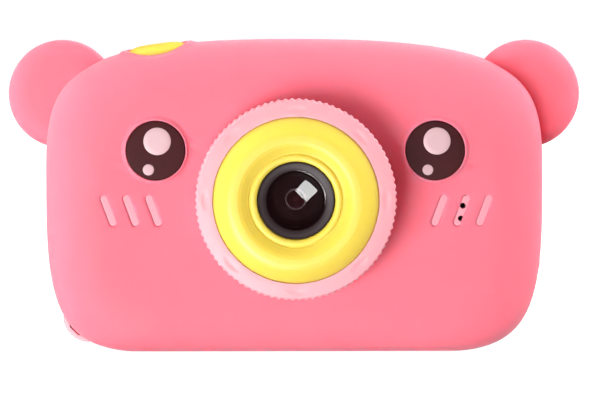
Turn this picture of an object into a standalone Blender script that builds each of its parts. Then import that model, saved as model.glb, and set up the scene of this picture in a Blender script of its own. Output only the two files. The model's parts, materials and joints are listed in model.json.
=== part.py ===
"""Toy camera: a hard two-part body in a soft bear-shaped silicone sleeve.

Every length below is in millimetres and becomes metres where a mesh is made.
+X is the right side seen from the front, -Y is the side the lens faces, +Z is up.
The origin is on the flat underside, below the lens and half way through the body.
"""
import math

import bmesh
import bpy
from mathutils import Vector

MM = 0.001

# Body
BODY_WIDTH = 95.4
BODY_HEIGHT = 59.6
BODY_DEPTH = 32.0
FRONT_ROUNDING = 13.0
REAR_ROUNDING = 7.0
SOLE = 0.2                      # how far the rounded underside is flattened
SOLE_EASE = 0.3                 # how much further it is let down beside the middle
SOLE_FADE = 12.0                # height at which that ends
SIDE_HEIGHT = 28.6              # height where the body is widest
SHOULDER = (50.2, 50.4)         # x of the first and z of the second handle, top corner
HIP = (44.1, 6.3)               # the same for the bottom corner
FLAT_HALF = 28.1                # half of the straight underside

# Shells
SLEEVE_WALL = 1.8
GAP = 0.3                       # clearance kept between neighbouring pieces
HOUSING_WALL = 1.8
HOUSING_OUT = SLEEVE_WALL + GAP
HOUSING_IN = HOUSING_OUT + HOUSING_WALL
PARTING = 4.0                   # y of the joint between the two housings

# Ears
EAR_X = 44.6
EAR_Z = 49.0
EAR_Y = 1.0
EAR_RADIUS = 10.4
EAR_HALF = 4.5                  # half thickness, which is also the rim rounding

# Lens, measured forward from the middle of the body
AXIS_Z = 30.0
RING_RADIUS = 18.8
RING_BACK = 16.5
RING_FRONT = 24.1
COLLAR_RADIUS = 14.6
COLLAR_BORE = 12.4
COLLAR_FRONT = 20.0
TRIM_RADIUS = 15.5
TRIM_CREST = (11.5, 26.4)       # radius and height of the funnel's rim
HOOD_RADIUS = 7.2
LIP_HEIGHT = 25.3               # inner lip of the funnel
HOOD_FRONT = 24.8
GLASS_RADIUS = 6.0
GLASS_BACK = 22.3

# Face
EYE_X = 26.3
EYE_Z = 38.9
EYE_RADIUS = 5.6
SPEAKER_X = 31.0
WHISKER_X = {-1: -31.0, 1: 31.4}  # middle slot of each group of three
WHISKER_Z = 27.55
WHISKER_PITCH = 4.25
WHISKER_LENGTH = 7.0
WHISKER_WIDTH = 1.8
WHISKER_SLANT = math.radians(20.5)
SOUND_HOLE_RADIUS = 0.58
SOUND_HOLES = ((31.2, 26.0), (31.6, 28.4), (31.9, 30.8))

# Shutter button
SHUTTER_X = -26.4
SHUTTER_Y = -1.0
SHUTTER_TILT = math.radians(-8)
SHUTTER_RADIUS = 5.7
RIM_INNER = 6.0
RIM_OUTER = 7.2
RIM_RISE = 0.4

# Strap lug
LUG_X = -39.7
LUG_Z = 6.1
LUG_RADIUS = 4.4
LUG_HALF = 1.5

# Rear face
WINDOW_X = 8.5                  # centre of the display
WINDOW_Z = 29.8
WINDOW_SIZE = (50.0, 38.0)
KEYPAD_X = -27.0
KEYPAD_Z = 23.5
KEYPAD_REACH = 7.2
UPPER_KEYS_Z = 37.0
UPPER_KEYS_REACH = 5.0
SELFIE_Z = 44.6
KEY_BACK = 8.8
KEY_TOP = 14.9

# Inside
BOARD_X = (-33.0, 41.0)
BOARD_Y = (1.0, 2.2)
BOARD_Z = (14.2, 45.2)
SENSOR_BOARD_HALF = 8.0
SCREW_PLACES = {"lower_left": (-36.6, 10.8), "lower_right": (36.6, 10.8),
                "upper_left": (-36.6, 48.6), "upper_right": (36.6, 48.6)}
BOARD_SCREW_PLACES = {"upper": (12.0, 42.4), "lower": (-7.0, 17.0)}
SCREW_RADIUS = 0.95
SCREW_BORE = 1.25
HEAD_RADIUS = 1.9
HEAD_BORE = 2.2
USB_Z = 20.2
USB_HALF = 3.6
CARD_Z = 31.0
CARD_HALF = 5.5
PORT_Y = -0.5                   # middle plane of the two sockets
PORT_OPENING = (13.0, 37.6)     # lowest and highest z of the sleeve's side opening
HINGE_X = 46.6
HINGE_Z = 14.9

# name: (red, green, blue of the surface as seen, roughness, metallic)
FINISHES = {
    "sleeve_silicone": ((254, 140, 158), 0.62, 0.0),
    "housing_plastic": ((253, 200, 211), 0.45, 0.0),
    "yellow_plastic": ((254, 238, 100), 0.38, 0.0),
    "black_plastic": ((34, 27, 30), 0.35, 0.0),
    "eye_inlay": ((66, 34, 38), 0.30, 0.0),
    "clear_glass": ((225, 232, 236), 0.05, 0.0),
    "display_glass": ((18, 20, 26), 0.08, 0.0),
    "circuit_board": ((24, 92, 58), 0.50, 0.0),
    "black_chip": ((28, 28, 30), 0.55, 0.0),
    "bare_steel": ((196, 198, 202), 0.30, 1.0),
    "battery_foil": ((190, 194, 200), 0.35, 0.8),
    "amber_film": ((196, 120, 40), 0.40, 0.0),
    "red_wire": ((190, 30, 28), 0.50, 0.0),
    "black_wire": ((26, 26, 28), 0.50, 0.0),
}


def clear_scene():
    for item in list(bpy.data.objects):
        bpy.data.objects.remove(item, do_unlink=True)


def linear(channel):
    value = channel / 255
    return value / 12.92 if value <= 0.04045 else ((value + 0.055) / 1.055) ** 2.4


def make_materials():
    for name, (colour, roughness, metallic) in FINISHES.items():
        material = bpy.data.materials.new(name)
        material.use_nodes = True
        shader = material.node_tree.nodes["Principled BSDF"]
        shader.inputs["Base Color"].default_value = (*[linear(c) for c in colour], 1)
        shader.inputs["Roughness"].default_value = roughness
        shader.inputs["Metallic"].default_value = metallic


# ---------------------------------------------------------------- mesh helpers

def finish(name, bm, material=None, at=(0, 0, 0), turn=(0, 0, 0), parent=None):
    """Turn a bmesh in millimetres into a placed object in metres."""
    bmesh.ops.scale(bm, vec=(MM, MM, MM), verts=bm.verts)
    bmesh.ops.recalc_face_normals(bm, faces=bm.faces)
    mesh = bpy.data.meshes.new(name)
    bm.to_mesh(mesh)
    bm.free()
    item = bpy.data.objects.new(name, mesh)
    item.location = Vector(at) * MM
    item.rotation_euler = turn
    item.parent = parent
    bpy.context.collection.objects.link(item)
    if material:
        mesh.materials.append(bpy.data.materials[material])
        mesh.shade_smooth()
        mesh.set_sharp_from_angle(angle=math.radians(35))
    else:
        item.hide_render = True
        item.display_type = "WIRE"
    return item


def cut(item, operation, *tools):
    for tool in tools:
        modifier = item.modifiers.new(tool.name, "BOOLEAN")
        modifier.operation = operation
        modifier.solver = "EXACT"
        modifier.object = tool


def turned_part(bm, profile, segments, centre=(0, 0)):
    """Add a body turned about local Z. The profile is closed, of (radius, height) points."""
    rings = []
    for radius, height in profile:
        if radius == 0:
            rings.append([bm.verts.new((*centre, height))] * segments)
            continue
        ring = []
        for step in range(segments):
            angle = math.tau * step / segments
            ring.append(bm.verts.new((centre[0] + radius * math.cos(angle),
                                      centre[1] + radius * math.sin(angle), height)))
        rings.append(ring)
    for first, second in zip(rings, rings[1:] + rings[:1]):
        for step in range(segments):
            after = (step + 1) % segments
            corners = [first[step], first[after], second[after], second[step]]
            corners = list(dict.fromkeys(corners))
            if len(corners) > 2:
                bm.faces.new(corners)


def turned(name, profile, segments, material=None, **place):
    bm = bmesh.new()
    turned_part(bm, profile, segments)
    return finish(name, bm, material, **place)


def prism_part(bm, points, low, high):
    """Add an outline of (x, y) points drawn out from z = low to z = high."""
    face = bm.faces.new([bm.verts.new((x, y, low)) for x, y in points])
    drawn = bmesh.ops.extrude_face_region(bm, geom=[face])
    moved = [item for item in drawn["geom"] if isinstance(item, bmesh.types.BMVert)]
    bmesh.ops.translate(bm, vec=(0, 0, high - low), verts=moved)
    return moved


def prism(name, points, low, high, material=None, **place):
    bm = bmesh.new()
    prism_part(bm, points, low, high)
    return finish(name, bm, material, **place)


def disc_points(radius, segments, centre=(0, 0)):
    return [(centre[0] + radius * math.cos(math.tau * step / segments),
             centre[1] + radius * math.sin(math.tau * step / segments)) for step in range(segments)]


def rounded_rectangle(width, height, radius, steps=4):
    points = []
    for corner, (side_x, side_y) in enumerate(((1, 1), (-1, 1), (-1, -1), (1, -1))):
        for step in range(steps + 1):
            angle = math.radians(90) * (corner + step / steps)
            points.append((side_x * (width / 2 - radius) + radius * math.cos(angle),
                           side_y * (height / 2 - radius) + radius * math.sin(angle)))
    return points


def box_part(bm, x, y, z):
    prism_part(bm, [(x[0], y[0]), (x[1], y[0]), (x[1], y[1]), (x[0], y[1])], *z)


def box(name, x, y, z, material=None, **place):
    """A box between two x, two y and two z values, with its origin at its centre."""
    centre = [sum(side) / 2 for side in (x, y, z)]
    half = [(side[1] - side[0]) / 2 for side in (x, y, z)]
    bm = bmesh.new()
    box_part(bm, *[(-size, size) for size in half])
    return finish(name, bm, material, at=centre, **place)


FORWARD = (math.radians(90), 0, 0)     # local Z points out of the lens
BACKWARD = (math.radians(90), 0, math.radians(180))  # local Z points out of the rear face


def strip(name, centre_line, width, thickness, x, material):
    """A flat cable: its (y, z) centre line, given a thickness, drawn out along X."""
    outer = []
    inner = []
    for index, point in enumerate(centre_line):
        before = Vector(centre_line[max(index - 1, 0)])
        after = Vector(centre_line[min(index + 1, len(centre_line) - 1)])
        along = (after - before).normalized()
        side = Vector((-along.y, along.x)) * thickness / 2
        outer.append(Vector(point) + side)
        inner.append(Vector(point) - side)
    points = [tuple(point) for point in outer + inner[::-1]]
    return prism(name, points, -width / 2, width / 2, material, at=(x, 0, 0),
                 turn=(math.radians(90), 0, math.radians(90)))


def bezier(points, steps):
    """The points of one cubic curve, without its first one."""
    made = []
    for step in range(1, steps + 1):
        t = step / steps
        weights = ((1 - t) ** 3, 3 * t * (1 - t) ** 2, 3 * t * t * (1 - t), t ** 3)
        made.append(tuple(sum(w * p[axis] for w, p in zip(weights, points)) for axis in (0, 1)))
    return made


# ---------------------------------------------------------------- body shape

def body_outline():
    """Half of the front outline in (x, z), from bottom centre up to top centre."""
    half = BODY_WIDTH / 2
    right = [(0, -SOLE), (FLAT_HALF, -SOLE)]
    right += bezier([(FLAT_HALF, -SOLE), (HIP[0], -SOLE), (half, HIP[1]), (half, SIDE_HEIGHT)], 7)
    right += bezier([(half, SIDE_HEIGHT), (half, SHOULDER[1]), (SHOULDER[0], BODY_HEIGHT),
                     (0, BODY_HEIGHT)], 9)
    left = [(-x, z) for x, z in right[-2:0:-1]]
    return right + left


def top_height(x):
    """Height of the body's top edge at x, on the middle plane."""
    outline = [point for point in body_outline() if point[0] >= 0 and point[1] > SIDE_HEIGHT]
    for outer, inner in zip(outline, outline[1:]):
        if inner[0] <= abs(x) <= outer[0]:
            share = (abs(x) - inner[0]) / (outer[0] - inner[0])
            return inner[1] + share * (outer[1] - inner[1])
    return BODY_HEIGHT


def pillow(name, inset, material=None):
    """The rounded body shape, with its whole surface moved in by inset."""
    half_w = BODY_WIDTH / 2 - inset
    half_h = (BODY_HEIGHT + SOLE) / 2 - inset
    half_d = BODY_DEPTH / 2 - inset
    middle = (BODY_HEIGHT - SOLE) / 2
    bm = bmesh.new()
    rings = []
    turns = [-90, -62, -38, -20, 0, 17, 36, 56, 74, 90]
    for turn in turns:
        angle = math.radians(abs(turn))
        front = turn >= 0
        rounding = (FRONT_ROUNDING if front else REAR_ROUNDING) - inset
        ring = []
        for x, z in body_outline():
            height = min(max(z / BODY_HEIGHT, 0), 1)
            power = 3.2 - 1.1 * height if front else 2.4
            drop = rounding * (1 - math.cos(angle) ** (2 / power)) if abs(turn) < 90 else rounding
            depth = half_d * math.sin(angle) ** (2 / power) if abs(turn) < 90 else half_d
            place_x = x * (half_w - drop) / (BODY_WIDTH / 2)
            place_z = middle + (z - middle) * (half_h - drop) / ((BODY_HEIGHT + SOLE) / 2)
            place_z -= min(drop, SOLE_EASE) * max(1 - z / SOLE_FADE, 0)
            ring.append(bm.verts.new((place_x, -depth if front else depth, max(place_z, inset))))
        rings.append(ring)
    count = len(rings[0])
    for first, second in zip(rings, rings[1:]):
        for step in range(count):
            after = (step + 1) % count
            bm.faces.new([first[step], first[after], second[after], second[step]])
    bm.faces.new(rings[0])
    bm.faces.new(rings[-1][::-1])
    sole = [face for face in bm.faces if max(corner.co.z for corner in face.verts) < inset + 0.0001]
    bmesh.ops.dissolve_faces(bm, faces=sole)
    return finish(name, bm, material)


def capsule_points(length, width, steps=6):
    """A slot outline with round ends, along local Y."""
    points = []
    for end, start in ((1, 0), (-1, 180)):
        for step in range(steps + 1):
            angle = math.radians(start + 180 * step / steps)
            points.append((width / 2 * math.cos(angle),
                           end * (length - width) / 2 + width / 2 * math.sin(angle)))
    return points


def add_prism(bm, points, low, high, spin=0.0, at=(0, 0)):
    """Add a prism whose outline is turned by spin and moved to a place in (x, z)."""
    turned_points = [(x * math.cos(spin) - y * math.sin(spin) + at[0],
                      x * math.sin(spin) + y * math.cos(spin) + at[1]) for x, y in points]
    prism_part(bm, turned_points, low, high)


def face_cutter(name, pieces):
    """One cutter of several prisms, each (points, back, front, spin, at), drawn along -Y."""
    bm = bmesh.new()
    for points, back, front, spin, at in pieces:
        add_prism(bm, points, back, front, spin, at)
    return finish(name, bm, turn=FORWARD)


def shutter_frame():
    """Where the shutter button's axis leaves the top of the body."""
    return {"at": (SHUTTER_X, SHUTTER_Y, top_height(SHUTTER_X)), "turn": (0, SHUTTER_TILT, 0)}


# ---------------------------------------------------------------- sleeve

def make_sleeve():
    sleeve = pillow("silicone_sleeve", 0, "sleeve_silicone")
    ears = bmesh.new()
    for side in (-1, 1):
        profile = [(0, EAR_HALF), (0, -EAR_HALF)]
        for step in range(7):
            angle = math.radians(-90 + 30 * step)
            profile.append((EAR_RADIUS - EAR_HALF + EAR_HALF * math.cos(angle),
                            EAR_HALF * math.sin(angle)))
        turned_part(ears, profile, 28, (side * EAR_X, EAR_Z))
    ear_form = finish("ear_form", ears, at=(0, EAR_Y, 0), turn=FORWARD)

    rim = turned("shutter_rim_form", [(RIM_INNER, -5), (RIM_OUTER, -5), (RIM_OUTER, 3), (RIM_INNER, 3)],
                 32, **shutter_frame())
    cut(rim, "INTERSECT", pillow("shutter_rim_limit", -RIM_RISE))

    openings = [(disc_points(COLLAR_RADIUS + 1.9, 40), 8, 20, 0, (0, AXIS_Z))]
    for side in (-1, 1):
        openings.append((disc_points(EYE_RADIUS + GAP, 32), 15.3, 20, 0, (side * EYE_X, EYE_Z)))
        for number in (-1, 0, 1):
            place = (WHISKER_X[side] + number * WHISKER_PITCH, WHISKER_Z)
            slot = capsule_points(WHISKER_LENGTH, WHISKER_WIDTH)
            openings.append((slot, 10, 20, -side * WHISKER_SLANT, place))
    window = rounded_rectangle(75, 39.2, 10, 6)
    openings.append((window, -20, -10, 0, (0, 29.9)))
    openings.append((disc_points(LUG_RADIUS + 1.0, 24), -3.8, 3.8, 0, (LUG_X, LUG_Z)))
    face_openings = face_cutter("sleeve_openings", openings)

    side_openings = bmesh.new()
    low, high = PORT_OPENING
    middle = (low + high) / 2
    outline = [(y, z + middle) for y, z in capsule_points(high - low, 8.4)]
    prism_part(side_openings, outline, 40, 52)
    port_opening = finish("sleeve_port_opening", side_openings,
                          turn=(math.radians(90), 0, math.radians(90)))
    shutter_opening = turned("sleeve_shutter_opening", [(0, -8), (RIM_INNER, -8), (RIM_INNER, 4), (0, 4)],
                             32, **shutter_frame())
    cut(sleeve, "UNION", ear_form, rim)
    cut(sleeve, "DIFFERENCE", pillow("sleeve_cavity", SLEEVE_WALL), face_openings,
        port_opening, shutter_opening)


def make_eye_discs():
    edge = 0.25
    back, face = 15.6, 16.6
    profile = [(0, back), (EYE_RADIUS, back), (EYE_RADIUS, face - edge), (EYE_RADIUS - edge, face), (0, face)]
    for name, side in (("left_eye_disc", -1), ("right_eye_disc", 1)):
        turned(name, profile, 32, "eye_inlay", at=(side * EYE_X, 0, EYE_Z), turn=FORWARD)


# ---------------------------------------------------------------- housings

def screw_posts(name, low, high, radius):
    """Screw posts between two depths, trimmed to stay inside the housing's wall."""
    bm = bmesh.new()
    for place in SCREW_PLACES.values():
        add_prism(bm, disc_points(radius, 14), low, high, 0, place)
    posts = finish(name, bm, turn=FORWARD)
    cut(posts, "INTERSECT", pillow(name + "_limit", HOUSING_OUT + HOUSING_WALL / 2))
    return posts


def make_front_housing():
    housing = pillow("front_housing", HOUSING_OUT, "housing_plastic")
    cavity = pillow("front_cavity", HOUSING_IN)
    rear_half = box("front_trim_off", (-60, 60), (PARTING - GAP / 2, 40), (-10, 80))
    collar = turned("lens_collar", [(COLLAR_BORE - 0.4, 12.8), (COLLAR_RADIUS, 12.8),
                                    (COLLAR_RADIUS, COLLAR_FRONT), (COLLAR_BORE - 0.4, COLLAR_FRONT)],
                    40, at=(0, 0, AXIS_Z), turn=FORWARD)
    posts = screw_posts("front_posts", GAP / 2 - PARTING, 16, 2.4)

    bosses = bmesh.new()
    for place in BOARD_SCREW_PLACES.values():
        add_prism(bosses, disc_points(2.0, 12), GAP - BOARD_Y[0], 13.0, 0, place)
    board_bosses = finish("board_bosses", bosses, turn=FORWARD)

    lug = turned("strap_lug_form", [(0, -LUG_HALF), (LUG_RADIUS, -LUG_HALF), (LUG_RADIUS, LUG_HALF),
                                    (0, LUG_HALF)], 28, at=(LUG_X, 0, LUG_Z), turn=FORWARD)
    cut(lug, "DIFFERENCE", pillow("lug_inner_limit", HOUSING_OUT + HOUSING_WALL / 2))

    holes = [(disc_points(COLLAR_BORE, 40), 8, 30, 0, (0, AXIS_Z))]
    for place in SOUND_HOLES:
        holes.append((disc_points(SOUND_HOLE_RADIUS, 8), 10, 20, 0, place))
    for place in SCREW_PLACES.values():
        holes.append((disc_points(SCREW_BORE, 8), -10, 8, 0, place))
    for place in BOARD_SCREW_PLACES.values():
        holes.append((disc_points(SCREW_BORE, 8), -2, 6, 0, place))
    strap_hole_place = (LUG_X - 2.6 * math.cos(math.radians(45)), LUG_Z - 2.6 * math.sin(math.radians(45)))
    holes.append((capsule_points(3.4, 1.4), -5, 5, math.radians(45), strap_hole_place))
    front_holes = face_cutter("front_holes", holes)

    side = bmesh.new()
    for height, z, width in ((2 * USB_HALF + 1.0, USB_Z, 3.4), (2 * CARD_HALF + 1.0, CARD_Z, 1.6)):
        prism_part(side, [(y + PORT_Y, dz + z) for y, dz in rounded_rectangle(width, height, 0.7, 3)], 40, 50)
    side_holes = finish("front_side_holes", side, turn=(math.radians(90), 0, math.radians(90)))
    shutter_hole = turned("front_shutter_hole", [(0, -12), (RIM_INNER, -12), (RIM_INNER, 4), (0, 4)],
                          32, **shutter_frame())
    cut(housing, "DIFFERENCE", cavity, rear_half)
    cut(housing, "UNION", collar, posts, board_bosses, lug)
    cut(housing, "DIFFERENCE", front_holes, side_holes, shutter_hole)


def key_places():
    """Each key's name, (x, z) place and radius."""
    reach = KEYPAD_REACH
    return [("up_key", (KEYPAD_X, KEYPAD_Z + reach), 2.2),
            ("down_key", (KEYPAD_X, KEYPAD_Z - reach), 2.2),
            ("left_key", (KEYPAD_X + reach, KEYPAD_Z), 2.2),
            ("right_key", (KEYPAD_X - reach, KEYPAD_Z), 2.2),
            ("ok_key", (KEYPAD_X, KEYPAD_Z), 3.2),
            ("power_key", (KEYPAD_X - UPPER_KEYS_REACH, UPPER_KEYS_Z), 2.0),
            ("mode_key", (KEYPAD_X + UPPER_KEYS_REACH, UPPER_KEYS_Z), 2.0)]


def make_rear_housing():
    housing = pillow("rear_housing", HOUSING_OUT, "housing_plastic")
    cavity = pillow("rear_cavity", HOUSING_IN)
    front_half = box("rear_trim_off", (-60, 60), (-40, PARTING + GAP / 2), (-10, 80))
    posts = screw_posts("rear_posts", -16, -PARTING - GAP / 2, 2.8)

    width, height = WINDOW_SIZE
    display_place = (WINDOW_X, WINDOW_Z)
    pockets = [(rounded_rectangle(width + 2 * GAP, height + 2 * GAP, 2.8), -20, -12.7, 0, display_place),
               (disc_points(4.35, 20), -20, -12.7, 0, (KEYPAD_X, SELFIE_Z))]
    holes = [(rounded_rectangle(43, 33, 0.8), -12.8, -8, 0, display_place),
             (disc_points(2.0, 12), -12.8, -8, 0, (KEYPAD_X, SELFIE_Z))]
    for _, place, radius in key_places():
        holes.append((disc_points(radius + 0.35, 16), -20, -8, 0, place))
    for place in SCREW_PLACES.values():
        pockets.append((disc_points(HEAD_BORE, 12), -20, -6, 0, place))
        holes.append((disc_points(SCREW_BORE, 8), -6.1, -2, 0, place))
    rear_pockets = face_cutter("rear_pockets", pockets)
    rear_holes = face_cutter("rear_holes", holes)
    shutter_hole = turned("rear_shutter_hole", [(0, -12), (RIM_INNER, -12), (RIM_INNER, 4), (0, 4)],
                          32, **shutter_frame())
    cut(housing, "DIFFERENCE", cavity, front_half)
    cut(housing, "UNION", posts)
    cut(housing, "DIFFERENCE", rear_pockets, rear_holes, shutter_hole)


def make_screws():
    depth = {"housing": (-7.8, -6.3, 7.0), "board": (-3.9, -2.5, 5.0)}
    for kind, places in (("housing", SCREW_PLACES), ("board", BOARD_SCREW_PLACES)):
        back, seat, tip = depth[kind]
        profile = [(0, tip), (SCREW_RADIUS, tip - 0.8), (SCREW_RADIUS, seat), (HEAD_RADIUS, seat),
                   (HEAD_RADIUS, back + 0.4), (HEAD_RADIUS - 0.4, back), (0, back + 0.3)]
        for name, (x, z) in places.items():
            turned(kind + "_screw_" + name, profile, 12, "bare_steel", at=(x, 0, z), turn=FORWARD)


# ---------------------------------------------------------------- lens

def make_lens():
    axis = {"at": (0, 0, AXIS_Z), "turn": FORWARD}
    bore_back = COLLAR_RADIUS + 0.4
    bore_front = TRIM_RADIUS + 0.35
    shoulder = COLLAR_FRONT - 0.1
    profile = [(bore_back, RING_BACK), (RING_RADIUS, RING_BACK), (RING_RADIUS, RING_FRONT - 0.5),
               (RING_RADIUS - 0.5, RING_FRONT), (bore_front, RING_FRONT), (bore_front, shoulder),
               (bore_back, shoulder)]
    turned("knurled_ring", profile, 64, "housing_plastic", **axis)

    crest_radius, crest = TRIM_CREST
    seat = COLLAR_FRONT + GAP
    bore = HOOD_RADIUS + GAP
    profile = [(COLLAR_BORE - 0.4, 17.0), (COLLAR_BORE - 0.4, seat), (TRIM_RADIUS, seat), (TRIM_RADIUS, 23.8),
               (TRIM_RADIUS - 0.4, 24.3), (13.6, 25.6), (12.3, 26.25), (crest_radius, crest), (10.8, 26.25),
               (9.9, 25.6), (8.9, LIP_HEIGHT - 0.1), (8.7, LIP_HEIGHT - 0.4), (8.45, LIP_HEIGHT),
               (7.8, LIP_HEIGHT), (bore, LIP_HEIGHT - 0.3), (bore, 17.0)]
    turned("lens_trim_ring", profile, 44, "yellow_plastic", **axis)

    glass_front = GLASS_BACK + 1.1
    profile = [(HOOD_RADIUS, 16.0), (HOOD_RADIUS, HOOD_FRONT - 0.2), (HOOD_RADIUS - 0.2, HOOD_FRONT),
               (5.55, HOOD_FRONT - 0.5), (5.55, glass_front + GAP), (GLASS_RADIUS + GAP, glass_front + GAP),
               (GLASS_RADIUS + GAP, 16.0)]
    turned("lens_hood", profile, 32, "black_plastic", **axis)
    profile = [(0, GLASS_BACK), (GLASS_RADIUS - 0.2, GLASS_BACK), (GLASS_RADIUS, GLASS_BACK + 0.2),
               (GLASS_RADIUS, glass_front - 0.1), (4.0, glass_front), (0, glass_front)]
    turned("lens_cover_glass", profile, 28, "clear_glass", **axis)

    profile = [(5.3, 21.2), (4.6, 20.2), (3.6, 19.9), (3.2, 19.0), (2.4, 18.7), (2.3, 18.2), (2.3, 16.4),
               (1.6, 16.4), (1.6, 7.0), (3.9, 7.0), (3.9, 15.2), (5.9, 15.7), (5.9, 21.2)]
    turned("lens_barrel", profile, 24, "black_plastic", **axis)
    profile = [(0, 16.8), (1.9, 16.8), (1.9, 17.5), (1.3, 17.95), (0, 18.1)]
    turned("lens_front_element", profile, 20, "clear_glass", **axis)

    holder = prism("lens_holder", rounded_rectangle(9.6, 9.6, 1.0, 2), 4.4, 11.5, "black_plastic", **axis)
    bore_form = bmesh.new()
    prism_part(bore_form, disc_points(4.2, 24), 6.4, 13)
    prism_part(bore_form, rounded_rectangle(7.6, 7.6, 0.6, 2), 3, 6.5)
    cut(holder, "DIFFERENCE", finish("lens_holder_bore", bore_form, **axis))
    half = SENSOR_BOARD_HALF
    box("image_sensor", (-2.8, 2.8), (-5.2, -4.4), (AXIS_Z - 2.4, AXIS_Z + 2.4), "black_chip")
    box("sensor_board", (-half, half), (-4.1, -3.1), (AXIS_Z - half, AXIS_Z + half), "circuit_board")
    strip("sensor_flex", [(-3.4, 21.6), (-3.3, 20.2), (-2.6, 18.9), (-1.4, 18.2), (-0.2, 18.3), (0.5, 19.2),
                          (0.55, 20.6)], 5.0, 0.2, 1.0, "amber_film")


# ---------------------------------------------------------------- controls

def make_shutter():
    frame = shutter_frame()
    profile = [(0, -9.3), (1.5, -9.3), (1.5, -6.8), (6.6, -6.8), (6.6, -6.1), (SHUTTER_RADIUS, -6.1),
               (SHUTTER_RADIUS, -1.0), (5.4, -0.4), (4.5, 0.1), (2.7, 0.45), (0, 0.6)]
    turned("shutter_button", profile, 28, "yellow_plastic", **frame)
    bm = bmesh.new()
    box_part(bm, (-28.0, -22.0), (-3.1, 0.7), (42.2, 46.6))
    switch = finish("shutter_switch", bm, "black_chip")
    plunger = turned("shutter_switch_plunger", [(0, 46), (1.2, 46), (1.2, 47.6), (0, 47.6)], 16,
                     at=(-25.1, SHUTTER_Y, 0))
    cut(switch, "UNION", plunger)


def make_keys():
    for name, (x, z), radius in key_places():
        crown = 0.35
        profile = [(0, KEY_BACK), (radius - 0.6, KEY_BACK), (radius - 0.6, 10.2), (radius + 0.7, 10.2),
                   (radius + 0.7, 11.2), (radius, 11.2), (radius, KEY_TOP - crown),
                   (radius - crown, KEY_TOP - 0.1), (0, KEY_TOP)]
        turned(name, profile, 16, "yellow_plastic", at=(x, 0, z), turn=BACKWARD)

    box("key_board", (-36.0, -17.9), (5.6, 6.6), (14.2, 42.6), "circuit_board")
    sheet = bmesh.new()
    prism_part(sheet, rounded_rectangle(17.6, 27.6, 1.0, 2), 6.9, 7.15)
    dome_sheet = finish("key_dome_sheet", sheet, "bare_steel", at=(KEYPAD_X, 0, 28.4), turn=BACKWARD)
    domes = bmesh.new()
    for _, (x, z), _ in key_places():
        turned_part(domes, [(0, 7.0), (1.7, 7.0), (1.1, 7.7), (0, 7.9)], 10, (-x, z))
    cut(dome_sheet, "UNION", finish("key_domes", domes, turn=BACKWARD))
    strip("key_flex", [(5.25, 20.0), (5.2, 18.4), (4.4, 17.5), (3.4, 17.5), (2.6, 18.4), (2.55, 20.0)],
          6.0, 0.2, KEYPAD_X, "amber_film")


def make_rear_details():
    width, height = WINDOW_SIZE
    prism("display_window", rounded_rectangle(width, height, 2.5), 13.0, 13.8, "display_glass",
          at=(WINDOW_X, 0, WINDOW_Z), turn=BACKWARD)
    box("display_module", (WINDOW_X - 25.0, WINDOW_X + 25.0), (8.8, 11.5),
        (WINDOW_Z - 18.0, WINDOW_Z + 18.0), "bare_steel")
    strip("display_flex", [(8.4, 17.0), (8.3, 15.4), (7.2, 14.5), (4.4, 14.5), (2.8, 15.4), (2.6, 17.0)],
          12.0, 0.2, WINDOW_X, "amber_film")
    place = {"at": (KEYPAD_X, 0, SELFIE_Z), "turn": BACKWARD}
    turned("selfie_lens_bezel", [(2.9, 13.0), (4.0, 13.0), (4.0, 14.3), (3.8, 14.5), (2.9, 14.1)], 24,
           "black_plastic", **place)
    turned("selfie_lens_window", [(0, 13.0), (2.6, 13.0), (2.6, 13.8), (0, 13.8)], 20, "clear_glass", **place)
    camera = box("selfie_camera_module", (KEYPAD_X - 3.2, KEYPAD_X + 3.2), (7.2, 10.4),
                 (SELFIE_Z - 1.4, SELFIE_Z + 4.0), "black_chip")
    nose = [(0, 10), (1.7, 10), (1.7, 12.4), (0, 12.4)]
    cut(camera, "UNION", turned("selfie_camera_nose", nose, 20, **place))


def make_ports():
    shell = box("usb_socket", (38.5, 44.8), (PORT_Y - 1.3, PORT_Y + 1.2),
                (USB_Z - USB_HALF, USB_Z + USB_HALF), "bare_steel")
    cut(shell, "DIFFERENCE", box("usb_mouth", (40.0, 46.0), (PORT_Y - 0.9, PORT_Y + 0.8),
                                 (USB_Z - USB_HALF + 0.4, USB_Z + USB_HALF - 0.4)))
    card = (CARD_Z - CARD_HALF, CARD_Z + CARD_HALF)
    socket = box("card_socket", (28.0, 42.6), (PORT_Y - 1.2, PORT_Y + 1.2), (card[0] - 1.1, card[1] + 1.1),
                 "bare_steel")
    cut(socket, "DIFFERENCE", box("card_slot", (30.0, 44.0), (PORT_Y - 0.7, PORT_Y + 0.7),
                                  (card[0] - GAP, card[1] + GAP)))
    box("memory_card", (31.6, 46.6), (PORT_Y - 0.4, PORT_Y + 0.4), card, "black_chip")

    cover = bmesh.new()
    points = [(y, z + USB_Z - HINGE_Z) for y, z in rounded_rectangle(6.4, 9.4, 1.6, 3)]
    prism_part(cover, points, 45.95 - HINGE_X, 47.2 - HINGE_X)
    flap = finish("port_cover", cover, "sleeve_silicone", at=(HINGE_X, PORT_Y, HINGE_Z),
                  turn=(math.radians(90), 0, math.radians(90)))
    nose = box("port_cover_nose", (44.9, 46.1), (PORT_Y - 1.2, PORT_Y + 1.2),
               (USB_Z - USB_HALF + 1.0, USB_Z + USB_HALF - 0.7))
    cut(flap, "UNION", nose)


# ---------------------------------------------------------------- electronics

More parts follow.
